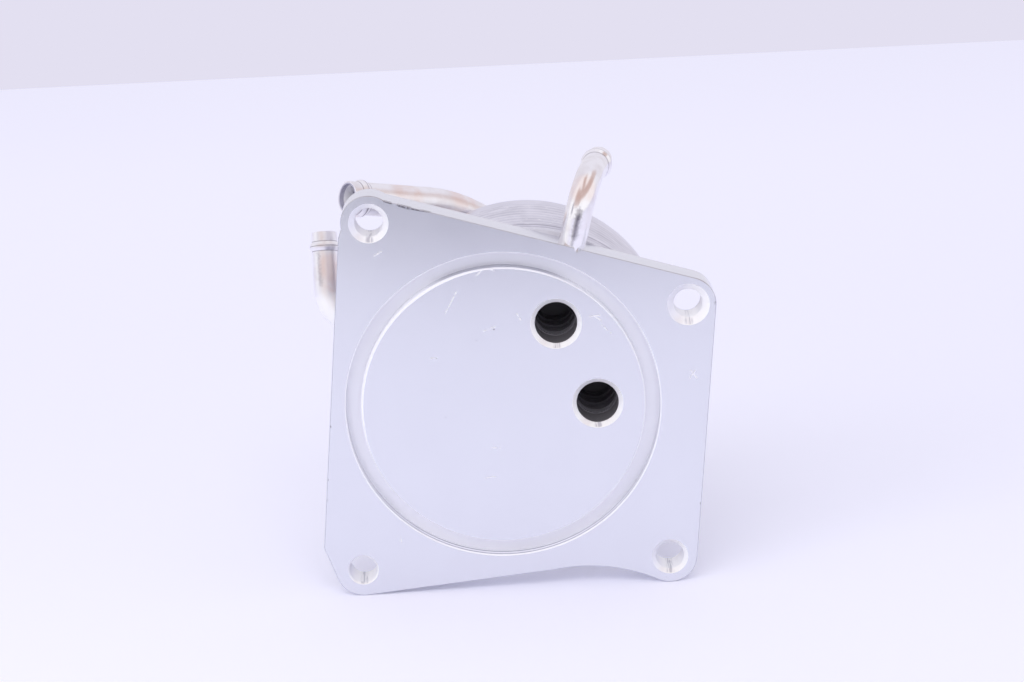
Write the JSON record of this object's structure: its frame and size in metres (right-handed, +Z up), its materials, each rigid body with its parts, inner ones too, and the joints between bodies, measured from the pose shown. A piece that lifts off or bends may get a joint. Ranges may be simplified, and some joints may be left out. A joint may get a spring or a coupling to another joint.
{
  "type": "oil cooler",
  "caption": "Stacked-plate oil cooler: a round brazed core on a thick bolted flange with a ring seal groove, oil ports and beaded hose pipes.",
  "frame": {"origin": "centre of the turned disk on the mounting face", "axes": "-Y out of the mounting face, towards the housing; +Y towards the core and pipes; +Z up as in the picture; +X to the right seen from the mounting face"},
  "size_m": [0.1214, 0.0647, 0.128],
  "materials": {
    "machined_aluminium": "machined",
    "core_aluminium": "brazed, satin",
    "block_aluminium": "milled",
    "bright_pipe": "polished"
  },
  "bodies": {
    "root": {"flange_plate": "machined_aluminium", "core_plate_1": "core_aluminium", "fin_sheet_1": "core_aluminium", "core_plate_2": "core_aluminium", "core_plate_3": "core_aluminium", "fin_sheet_3": "core_aluminium", "core_plate_4": "core_aluminium", "core_plate_5": "core_aluminium", "fin_sheet_5": "core_aluminium", "core_plate_6": "core_aluminium", "core_plate_7": "core_aluminium", "fin_sheet_7": "core_aluminium", "core_plate_8": "core_aluminium", "end_cover": "core_aluminium", "upper_pipe_block": "block_aluminium", "side_pipe_block": "block_aluminium", "edge_pipe": "bright_pipe", "upper_pipe": "bright_pipe", "side_pipe": "bright_pipe"}
  },
  "joints": []
}
